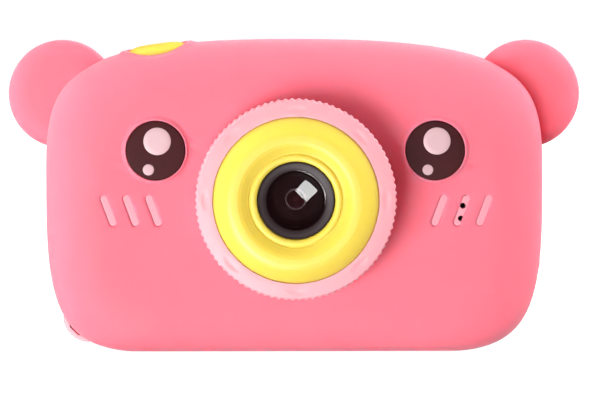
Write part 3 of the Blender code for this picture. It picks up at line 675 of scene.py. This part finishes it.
def make_ring():
    """The turning ring: ninety grip teeth and eight shallow dimples on its front face."""
    axis = {"at": (0, 0, AXIS_Z), "turn": FORWARD}
    bore = TRIM_RADIUS + RING_GAP
    face_out = RING_RADIUS - 0.55
    profile = [(RING_INNER, RING_BACK), (RING_RADIUS - 0.5, RING_BACK),
               (RING_RADIUS - 0.1, RING_BACK + 0.3)]
    profile += [(RING_RADIUS, RING_BACK + 0.6), (RING_RADIUS, RING_FRONT - 0.95),
                (RING_RADIUS - 0.06, RING_FRONT - 0.7), (RING_RADIUS - 0.2, RING_FRONT - 0.52),
                (RING_RADIUS - 0.4, RING_FRONT - 0.4)]
    steps = 14
    for step in range(steps + 1):
        share = step / steps
        radius = face_out + (bore + 0.07 - face_out) * share
        profile.append((radius, RING_FRONT - RING_SLOPE + RING_SLOPE * math.sin(math.radians(90) * share)))
    profile += [(bore, RING_FRONT - 0.1), (bore, SEAT), (RING_INNER, SEAT)]

    def shape(radius, height, angle):
        away = max((radius - (RING_RADIUS - 0.5)) / 0.5, 0)
        wave = math.cos(angle * TEETH)
        tooth = 0.5 - 0.5 * math.copysign(abs(wave) ** 0.7, wave)
        radius -= TOOTH_DEPTH * tooth * min(away, 1)
        if height > RING_FRONT - 0.36 and radius > RING_INNER - 1:
            turn = (angle * DIMPLES / math.tau + 0.5) % 1 - 0.5
            along = turn * math.tau / DIMPLES * radius / DIMPLE_HALF_LENGTH
            across = (radius - DIMPLE_CENTRE) / DIMPLE_HALF_WIDTH
            reach = along * along + across * across
            if reach < 1:
                height -= DIMPLE_DEPTH * (1 - reach) ** 1.5
        return radius, height

    ring = turned("lens_grip_ring", profile, TEETH * 8, PALE, shape=shape, sharp=50, **axis)
    stand_in(ring, "lens_ring", "knurled_ring")


def make_trim():
    """The yellow funnel, with fine turning steps inside it."""
    axis = {"at": (0, 0, AXIS_Z), "turn": FORWARD}
    bore = HOOD_RADIUS + 0.12
    shoulder = TRIM_RADIUS - 0.3
    profile = [(11.9, 17.0), (11.9, 20.3), (TRIM_RADIUS, 20.3), (TRIM_RADIUS, 23.75),
               (TRIM_RADIUS - 0.1, 24.0), (shoulder, TRIM_EDGE)]

    def turning_mark(radius):
        """Depth of the fine turning marks, which fade out towards the rim."""
        fade = min(max((13.6 - radius) / 1.5, 0), 1)
        return -MARK_DEPTH * fade * (1 + math.sin(math.tau * radius / MARK_PITCH))

    # outer slope up to the crest, then the funnel
    steps = 36
    for step in range(1, steps + 1):
        share = step / steps
        radius = shoulder - (shoulder - 11.7) * share
        height = TRIM_EDGE + (CREST - TRIM_EDGE) * math.sin(math.radians(90) * share) ** 0.85
        profile.append((radius, height + turning_mark(radius)))
    start = (11.2, CREST - 0.05)
    end = (8.95, LIP - 0.12)
    for step in range(1, steps):
        share = step / steps
        radius = start[0] + (end[0] - start[0]) * share
        slope = math.cos(math.radians(90) * share) ** 1.3
        profile.append((radius, end[1] + (start[1] - end[1]) * slope + turning_mark(radius)))
    profile += [(8.85, LIP - 0.2), (8.78, LIP - 0.4), (8.65, LIP - 0.4), (8.55, LIP - 0.15),
                (8.42, LIP - 0.03), (8.2, LIP), (7.85, LIP), (7.65, LIP - 0.05), (bore, LIP - 0.25),
                (bore, 17.0)]
    trim = turned("lens_funnel", profile, 160, YELLOW, sharp=60, **axis)
    stand_in(trim, "camera_body", "lens_trim_ring")


def make_hood():
    axis = {"at": (0, 0, AXIS_Z), "turn": FORWARD}
    rim = HOOD_FRONT
    profile = [(HOOD_RADIUS, 16.0), (HOOD_RADIUS, rim - 0.3), (HOOD_RADIUS - 0.06, rim - 0.1),
               (HOOD_RADIUS - 0.2, rim), (6.95, rim - 0.02), (6.85, rim - 0.12), (6.4, rim - 0.18),
               (5.75, rim - 0.3), (5.6, rim - 0.42), (5.55, rim - 0.7), (5.55, rim - 1.2), (6.3, rim - 1.2),
               (6.3, 16.0)]
    hood = turned("lens_hood_ring", profile, 128, BLACK, sharp=35, **axis)
    stand_in(hood, "camera_body", "lens_hood")

    # the outer lens: its front is hollowed as part of a sphere
    back = -extent("lens_cover_glass", 1)[1]
    front = -extent("lens_cover_glass", 1)[0]
    profile = [(0, back - 1.0), (5.9, back - 1.0), (6.0, back - 0.9), (6.0, front), (5.45, front)]
    edge_depth = math.sqrt(WINDOW_HOLLOW ** 2 - WINDOW_RADIUS ** 2)
    for step in range(20):
        radius = WINDOW_RADIUS * (1 - step / 19)
        depth = math.sqrt(WINDOW_HOLLOW ** 2 - radius ** 2) - edge_depth
        profile.append((radius, front - 0.02 - depth))
    glass = turned("lens_cover_window", profile, 96, GLASS, **axis)
    stand_in(glass, "camera_body", "lens_cover_glass")

    # a shallow black bowl with fine rings, then the small lens in its collar
    profile = [(5.9, 15.7), (5.9, 21.1), (5.35, 21.1), (5.2, 20.9)]
    for step in range(1, 25):
        share = step / 24
        radius = 5.2 - 2.9 * share
        profile.append((radius, 19.7 + 1.2 * (1 - share) ** 1.3 + (0.05 if step % 4 == 0 else 0)))
    profile += [(2.2, 19.6), (2.2, 16.4), (1.6, 16.4), (1.6, 7.0), (3.9, 7.0), (3.9, 15.2)]
    barrel = turned("lens_bowl", profile, 128, MATT_BLACK, sharp=20, **axis)
    stand_in(barrel, "camera_body", "lens_barrel")

    profile = rounded([(1.9, 18.6), (2.15, 18.6), (2.15, 20.0), (1.98, 20.0)], [0, 0, 0.05, 0.05])
    # the collar's pale colour is a painted reflection of metal shine
    collar = turned("lens_collar", profile, 64, COLLAR_PAINTED_SHINE, **axis)
    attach(collar, "camera_body")
    profile = [(0, 17.2), (1.9, 17.2), (1.9, 19.2), (1.6, 19.5), (1.3, 19.62), (1.26, 19.55), (1.22, 19.66),
               (0.75, 19.84), (0.7, 19.78), (0.66, 19.87), (0.3, 19.94), (0, 19.95)]
    bead = turned("lens_bead", profile, 64, COATED, sharp=30, **axis)
    stand_in(bead, "camera_body", "lens_front_element")


# ---------------------------------------------------------------- controls

def make_shutter():
    radius = SHUTTER_RADIUS
    profile = [(0, -9.3), (SHUTTER_STEM, -9.3), (SHUTTER_STEM, -6.8), (SHUTTER_FLANGE, -6.8),
               (SHUTTER_FLANGE, -6.1), (radius, -6.1), (radius, -1.2)]
    for step in range(1, 17):
        angle = math.radians(90) * step / 16
        profile.append((radius * math.cos(angle) ** 0.5 if step < 16 else 0,
                        -1.2 + SHUTTER_CROWN * math.sin(angle)))
    button = turned("shutter_cap", profile, 96, YELLOW, **shutter_place())
    stand_in(button, "shutter", "shutter_button")


KEYS = ("up", "down", "left", "right", "ok", "power", "mode")
ARROWS = {"up": 0, "left": 90, "down": 180, "right": 270}


def arc_band(radius, width, start, end, steps=24):
    """A flat ring sector as an outline."""
    points = []
    for side, order in ((width / 2, range(steps + 1)), (-width / 2, range(steps, -1, -1))):
        for step in order:
            angle = math.radians(start + (end - start) * step / steps)
            points.append(((radius + side) * math.cos(angle), (radius + side) * math.sin(angle)))
    return points


def key_marks(key):
    """Outlines printed on a key, seen from behind the camera."""
    if key in ARROWS:
        turn = Matrix.Rotation(math.radians(ARROWS[key]), 2)
        return [[tuple(turn @ Vector(point)) for point in ((-0.75, -0.45), (0.75, -0.45), (0, 0.75))]]
    if key == "ok":
        return [arc_band(1.9, 0.3, 0, 180), arc_band(1.9, 0.3, 180, 360)]
    if key == "power":
        return [arc_band(0.95, 0.26, 120, 420), [(-0.13, 0.25), (0.13, 0.25), (0.13, 1.25), (-0.13, 1.25)]]
    return [[(-0.35, -0.75), (0.85, 0), (-0.35, 0.75)],
            [(-0.9, -0.75), (-0.62, -0.75), (-0.62, 0.75), (-0.9, 0.75)]]


def key_radius(key):
    return span(key + "_key", 0) / 2 - KEY_FLANGE


def make_keys():
    """Yellow keys with a soft dome, each with a plain printed sign."""
    for key in KEYS:
        node = key + "_key"
        x, _, z = middle(node)
        back, top = extent(node, 1)
        radius = key_radius(key)
        flange = radius + KEY_FLANGE
        profile = [(0, back), (radius - 0.6, back), (radius - 0.6, 10.2), (flange, 10.2), (flange, 11.2),
                   (radius, 11.2), (radius, top - 0.5)]
        for step in range(1, 6):
            angle = math.radians(90) * step / 5
            profile.append((radius - 0.35 + 0.35 * math.cos(angle), top - 0.5 + 0.35 * math.sin(angle)))
        for share in (0.75, 0.5, 0.25, 0):
            profile.append((radius * share * 0.84, top - 0.15 * share ** 2))
        cap = turned(key + "_cap", profile, 64, YELLOW, at=(x, 0, z), turn=BACKWARD)
        stand_in(cap, key + "_button", node)
        marks = bmesh.new()
        for outline in key_marks(key):
            ring_body(marks, [[(px, py, height) for px, py in outline]
                              for height in (top - 0.4, top - 0.005)])
        sign = finish(key + "_sign", marks, PRINT, at=(x, 0, z), turn=BACKWARD)
        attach(sign, key + "_button")


# ---------------------------------------------------------------- housings and rear

def shutter_hole(name):
    return turned(name, [(0, -12), (RIM_INNER, -12), (RIM_INNER, 4), (0, 4)], 64, **shutter_place())


def half_space(name, side):
    """Everything on one side of the joint between the two housing halves."""
    joint = extent("front_housing", 1)[1] if side > 0 else extent("rear_housing", 1)[0]
    bm = bmesh.new()
    bmesh.ops.create_cube(bm, size=200)
    return finish(name, bm, at=(0, joint + side * 100, 30))


def make_front_housing():
    shell = pillow("front_shell", HOUSING_OUT, PALE, crown=0)
    collar = turned("collar_form", [(12.0, 12.8), (14.6, 12.8), (14.6, 20.0), (12.0, 20.0)], 96,
                    at=(0, 0, AXIS_Z), turn=FORWARD)
    lug_profile = rounded([(0, -LUG_HALF), (LUG_RADIUS, -LUG_HALF), (LUG_RADIUS, LUG_HALF), (0, LUG_HALF)],
                          [0, 0.45, 0.45, 0], 6)
    lug = turned("lug_form", lug_profile, 72, at=(LUG_X, 0, LUG_Z), turn=FORWARD)
    cut(lug, "DIFFERENCE", pillow("lug_limit", HOUSING_OUT + 0.9, fine=3, crown=0))
    holes = bmesh.new()
    plate(holes, lambda grow: circle(12.4 + grow, 96), ((8, 0), (30, 0)), (0, AXIS_Z))
    for place in SOUND_HOLES:
        plate(holes, lambda grow: circle(SOUND_HOLE_RADIUS + grow, 24), ((10, 0), (20, 0)), place)
    diagonal = math.radians(45)
    reach = LUG_HOLE_REACH * math.cos(diagonal)
    plate(holes, lambda grow: capsule(*LUG_HOLE), ((-5, 0), (5, 0)), (LUG_X - reach, LUG_Z - reach),
          diagonal)
    front_holes = finish("front_holes", holes, turn=FORWARD)
    sides = bmesh.new()
    for node, height, width in (("usb_socket", 8.2, 3.4), ("card_socket", 12.0, 1.6)):
        plate(sides, lambda grow: rounded_rectangle(*widened((width, height), grow), 0.7 + grow, 6),
              ((40, 0), (50, 0)), (PORT_Y, middle(node)[2]))
    side_holes = finish("side_holes", sides, turn=SIDEWAYS)
    hollow = pillow("front_hollow", HOUSING_OUT + HOUSING_WALL, fine=3, crown=0)
    cut(shell, "DIFFERENCE", hollow, half_space("rear_off", 1))
    cut(shell, "UNION", collar, lug)
    cut(shell, "DIFFERENCE", front_holes, side_holes, shutter_hole("front_shutter_hole"))
    smooth(shell, 35)
    stand_in(shell, "camera_body", "front_housing")


def make_rear_housing():
    shell = pillow("rear_shell", HOUSING_OUT, PALE, crown=0)
    face = BODY_DEPTH / 2 - HOUSING_OUT - HAIR
    low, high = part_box("display_window")
    size = [(high[axis] - low[axis]) / MM + 0.5 for axis in (0, 2)]
    window = middle("display_window")
    display = bmesh.new()
    flared(display, lambda grow: rounded_rectangle(*widened(size, grow), 2.8 + grow, 10), 12.7,
           face, 0.15, (-window[0], window[2]))
    display_cut = finish("display_cut", display, turn=BACKWARD)
    cuts = bmesh.new()
    for key in KEYS:
        x, _, z = middle(key + "_key")
        radius = key_radius(key) + KEY_GAP
        flared(cuts, lambda grow: circle(radius + grow, 64), 8, face, 0.2, (-x, z))
    x, _, z = middle("selfie_lens_bezel")
    flared(cuts, lambda grow: circle(4.15 + grow, 64), 12.7, face, 0.25, (-x, z))
    rear_cuts = finish("rear_cuts", cuts, turn=BACKWARD)
    hollow = pillow("rear_hollow", HOUSING_OUT + HOUSING_WALL, fine=3, crown=0)
    cut(shell, "DIFFERENCE", hollow, half_space("front_off", -1), display_cut, rear_cuts,
        shutter_hole("rear_shutter_hole"))
    smooth(shell, 35)
    stand_in(shell, "camera_body", "rear_housing")


def make_rear_details():
    x, _, z = middle("display_window")
    low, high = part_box("display_window")
    size = [(high[axis] - low[axis]) / MM for axis in (0, 2)]
    panel = bmesh.new()
    plate(panel, lambda grow: rounded_rectangle(*widened(size, grow), 2.5 + grow, 10),
          soft_levels(12.9, 13.8, 0.25), (-x, z))
    cover = finish("display_cover", panel, SCREEN, turn=BACKWARD)
    stand_in(cover, "camera_body", "display_window")
    area = bmesh.new()
    plate(area, lambda grow: rounded_rectangle(42.4, 32.2, 0.6, 4), ((13.6, 0), (13.815, 0)), (-x, z))
    picture = finish("display_area", area, PICTURE, turn=BACKWARD)
    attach(picture, "camera_body")

    x, _, z = middle("selfie_lens_bezel")
    place = {"at": (x, 0, z), "turn": BACKWARD}
    profile = rounded([(2.8, 13.0), (4.0, 13.0), (4.0, 14.45), (3.1, 14.3), (2.8, 13.9)],
                      [0, 0, 0.3, 0.15, 0.1])
    bezel = turned("selfie_bezel", profile, 96, BLACK, **place)
    stand_in(bezel, "camera_body", "selfie_lens_bezel")
    profile = [(0, 13.2), (2.78, 13.2), (2.78, 13.7), (1.8, 13.85), (0.9, 13.92), (0, 13.94)]
    window = turned("selfie_window", profile, 64, GLASS, **place)
    stand_in(window, "camera_body", "selfie_lens_window")
    profile = [(0, 12.4), (2.78, 12.4), (2.78, 13.1), (1.5, 13.0), (1.3, 12.8), (1.1, 13.0), (0.6, 13.1),
               (0, 13.15)]
    lens = turned("selfie_lens", profile, 64, COATED, **place)
    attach(lens, "camera_body")


def make_port_flap():
    width = span("port_cover", 1)
    height = span("port_cover", 2)
    z = middle("port_cover")[2]
    inner, outer = 45.95, extent("port_cover", 0)[1]
    flap = bmesh.new()
    plate(flap, lambda grow: rounded_rectangle(*widened((width, height), grow), 1.6 + grow, 8),
          soft_levels(inner, outer, 0.3), (PORT_Y, z))
    cover = finish("port_flap_cover", flap, SILICONE, turn=SIDEWAYS)
    extra = bmesh.new()
    grip_levels = soft_levels(outer - 0.5, outer + 0.1, 0.12)
    for number in (-1, 0, 1):
        plate(extra, lambda grow: capsule(*widened((3.4, 0.5), grow)), grip_levels,
              (PORT_Y, z + 2.9 + number * 0.9), math.radians(90))
    plate(extra, lambda grow: rounded_rectangle(*widened((2.3, 5.4), grow), 0.5 + grow, 4),
          ((44.9, -0.2), (45.1, 0), (46.2, 0)), (PORT_Y, middle("usb_socket")[2]))
    cut(cover, "UNION", finish("flap_grip", extra, turn=SIDEWAYS))
    smooth(cover)
    stand_in(cover, "port_flap", "port_cover")


def make_usb_socket():
    x_range = extent("usb_socket", 0)
    wide = span("usb_socket", 1)
    tall = span("usb_socket", 2)
    place = middle("usb_socket")[1:]
    shell = bmesh.new()
    plate(shell, lambda grow: rounded_rectangle(wide, tall, 1.1, 6), [(x, 0) for x in x_range], place)
    metal = finish("usb_shell", shell, STEEL, turn=SIDEWAYS)
    mouth = bmesh.new()
    plate(mouth, lambda grow: rounded_rectangle(wide - 0.6, tall - 0.6, 0.85, 6), ((40, 0), (48, 0)), place)
    cut(metal, "DIFFERENCE", finish("usb_mouth", mouth, turn=SIDEWAYS))
    smooth(metal, 35)
    stand_in(metal, "camera_body", "usb_socket")
    tongue = bmesh.new()
    plate(tongue, lambda grow: rounded_rectangle(0.6, tall - 2.0, 0.15, 3), ((39.9, 0), (44.2, 0)), place)
    inner_part = finish("usb_tongue", tongue, CHIP, turn=SIDEWAYS)
    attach(inner_part, "camera_body")


def make_card():
    left = extent("memory_card", 0)[0]
    low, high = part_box("memory_card")
    front = -high[1] / MM
    length = span("memory_card", 0)
    thick = span("memory_card", 1)
    tall = span("memory_card", 2)
    card = bmesh.new()
    shape = [(0, 0), (length, 0), (length, tall), (0.7, tall), (0, tall - 0.7)]
    ring_body(card, [[(px + left, py + low[2] / MM, level) for px, py in shape]
                     for level in (front, front + thick)])
    body = finish("memory_card_body", card, CHIP, turn=FORWARD)
    stand_in(body, "card", "memory_card")
    contacts = bmesh.new()
    start, end = left + 0.6, left + 3.4
    for number in range(8):
        bottom = middle("memory_card")[2] - 4.4 + number * 1.15
        corners = ((start, bottom), (end, bottom), (end, bottom + 0.8), (start, bottom + 0.8))
        ring_body(contacts, [[(px, py, level) for px, py in corners]
                             for level in (front - 0.02, front + 0.1)])
    gold = finish("memory_card_contacts", contacts, COPPER, turn=FORWARD)
    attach(gold, "card")


def dress_frame_nodes():
    """Give each frame node that stays visible its finished material."""
    slots = {entry["node"]: entry["material_slot"] for entry in frame["record"]["subparts"]}
    for node, item in frame["nodes"].items():
        look = SLOT_LOOKS[slots[node]]
        if not item.material_slots:
            item.data.materials.append(look)
        for slot in item.material_slots:
            slot.material = look


# ---------------------------------------------------------------- stage and light

def area_light(name, place, target, size, power, roll=0.0):
    lamp = bpy.data.lights.new(name, "AREA")
    lamp.shape = "RECTANGLE"
    lamp.size, lamp.size_y = size
    lamp.energy = power
    item = bpy.data.objects.new(name, lamp)
    item.location = place
    aim = (Vector(place) - Vector(target)).to_track_quat("Z", "Y").to_matrix()
    item.rotation_euler = (aim @ Matrix.Rotation(roll, 3, "Z")).to_euler()
    bpy.context.scene.collection.objects.link(item)
    return item


def make_stage():
    """A wide pale floor whose far edge turns up into a wall all the way round."""
    bm = bmesh.new()
    rings = []
    sides = 96
    for radius, height in ((0.001, 0), (1.0, 0), (10.0, 0), (11.0, 0.15), (11.7, 0.7), (12.0, 1.6),
                           (12.0, 7.0)):
        rings.append([bm.verts.new((x, y, height)) for x, y in circle(radius, sides)])
    for first, second in zip(rings, rings[1:]):
        for step in range(sides):
            after = (step + 1) % sides
            bm.faces.new([first[step], first[after], second[after], second[step]])
    mesh = bpy.data.meshes.new("floor")
    bm.to_mesh(mesh)
    bm.free()
    mesh.shade_smooth()
    floor = bpy.data.objects.new("floor", mesh)
    bpy.context.scene.collection.objects.link(floor)
    mesh.materials.append(material("floor_white", (120, 120, 120), 0.9, variation=0.004,
                                   Emission_Color=(1, 1, 1, 1), Emission_Strength=1.0))
    floor.visible_shadow = False
    floor.visible_diffuse = False
    floor.visible_glossy = False
    floor.visible_transmission = False


def make_light():
    world = bpy.data.worlds.new("studio")
    world.use_nodes = True
    world.node_tree.nodes["Background"].inputs["Color"].default_value = (1, 0.33, 0.35, 1)
    world.node_tree.nodes["Background"].inputs["Strength"].default_value = 0.19
    bpy.context.scene.world = world
    centre = (0, 0, 0.03)
    # what glossy surfaces mirror of the key: the soft window in the lens
    mirrored = area_light("key_window", (-0.334, -0.865, -0.345), centre, (0.6, 0.56), 16, math.radians(44))
    mirrored.visible_diffuse = False
    mirrored.visible_transmission = False
    for name, place, size, power in (("key", (-0.49, -0.82, -0.28), (0.62, 0.58), 15.5),
                                     ("left_rim", (-0.75, 0.08, 0.30), (0.5, 0.6), 5.0),
                                     ("right_rim", (0.72, 0.05, 0.34), (0.5, 0.6), 9.0),
                                     ("top_rim", (0.0, 0.0, 0.8), (0.8, 0.4), 4.5),
                                     ("back_fill", (0.35, 1.1, 0.45), (0.8, 0.6), 9.0)):
        lamp = area_light(name, place, centre, size, power)
        lamp.visible_glossy = False
        lamp.visible_transmission = False
    bpy.context.scene.view_settings.view_transform = "Standard"
    bpy.context.scene.view_settings.look = "None"


look_from(azimuth=-0.9, elevation=3.8, distance=0.65, target=(0.0011, 0.0, 0.0284), focal=202)
dress_frame_nodes()
make_sleeve()
make_ribs()
make_eyes()
make_ring()
make_trim()
make_hood()
make_shutter()
make_keys()
make_front_housing()
make_rear_housing()
make_rear_details()
make_port_flap()
make_usb_socket()
make_card()
make_stage()
make_light()
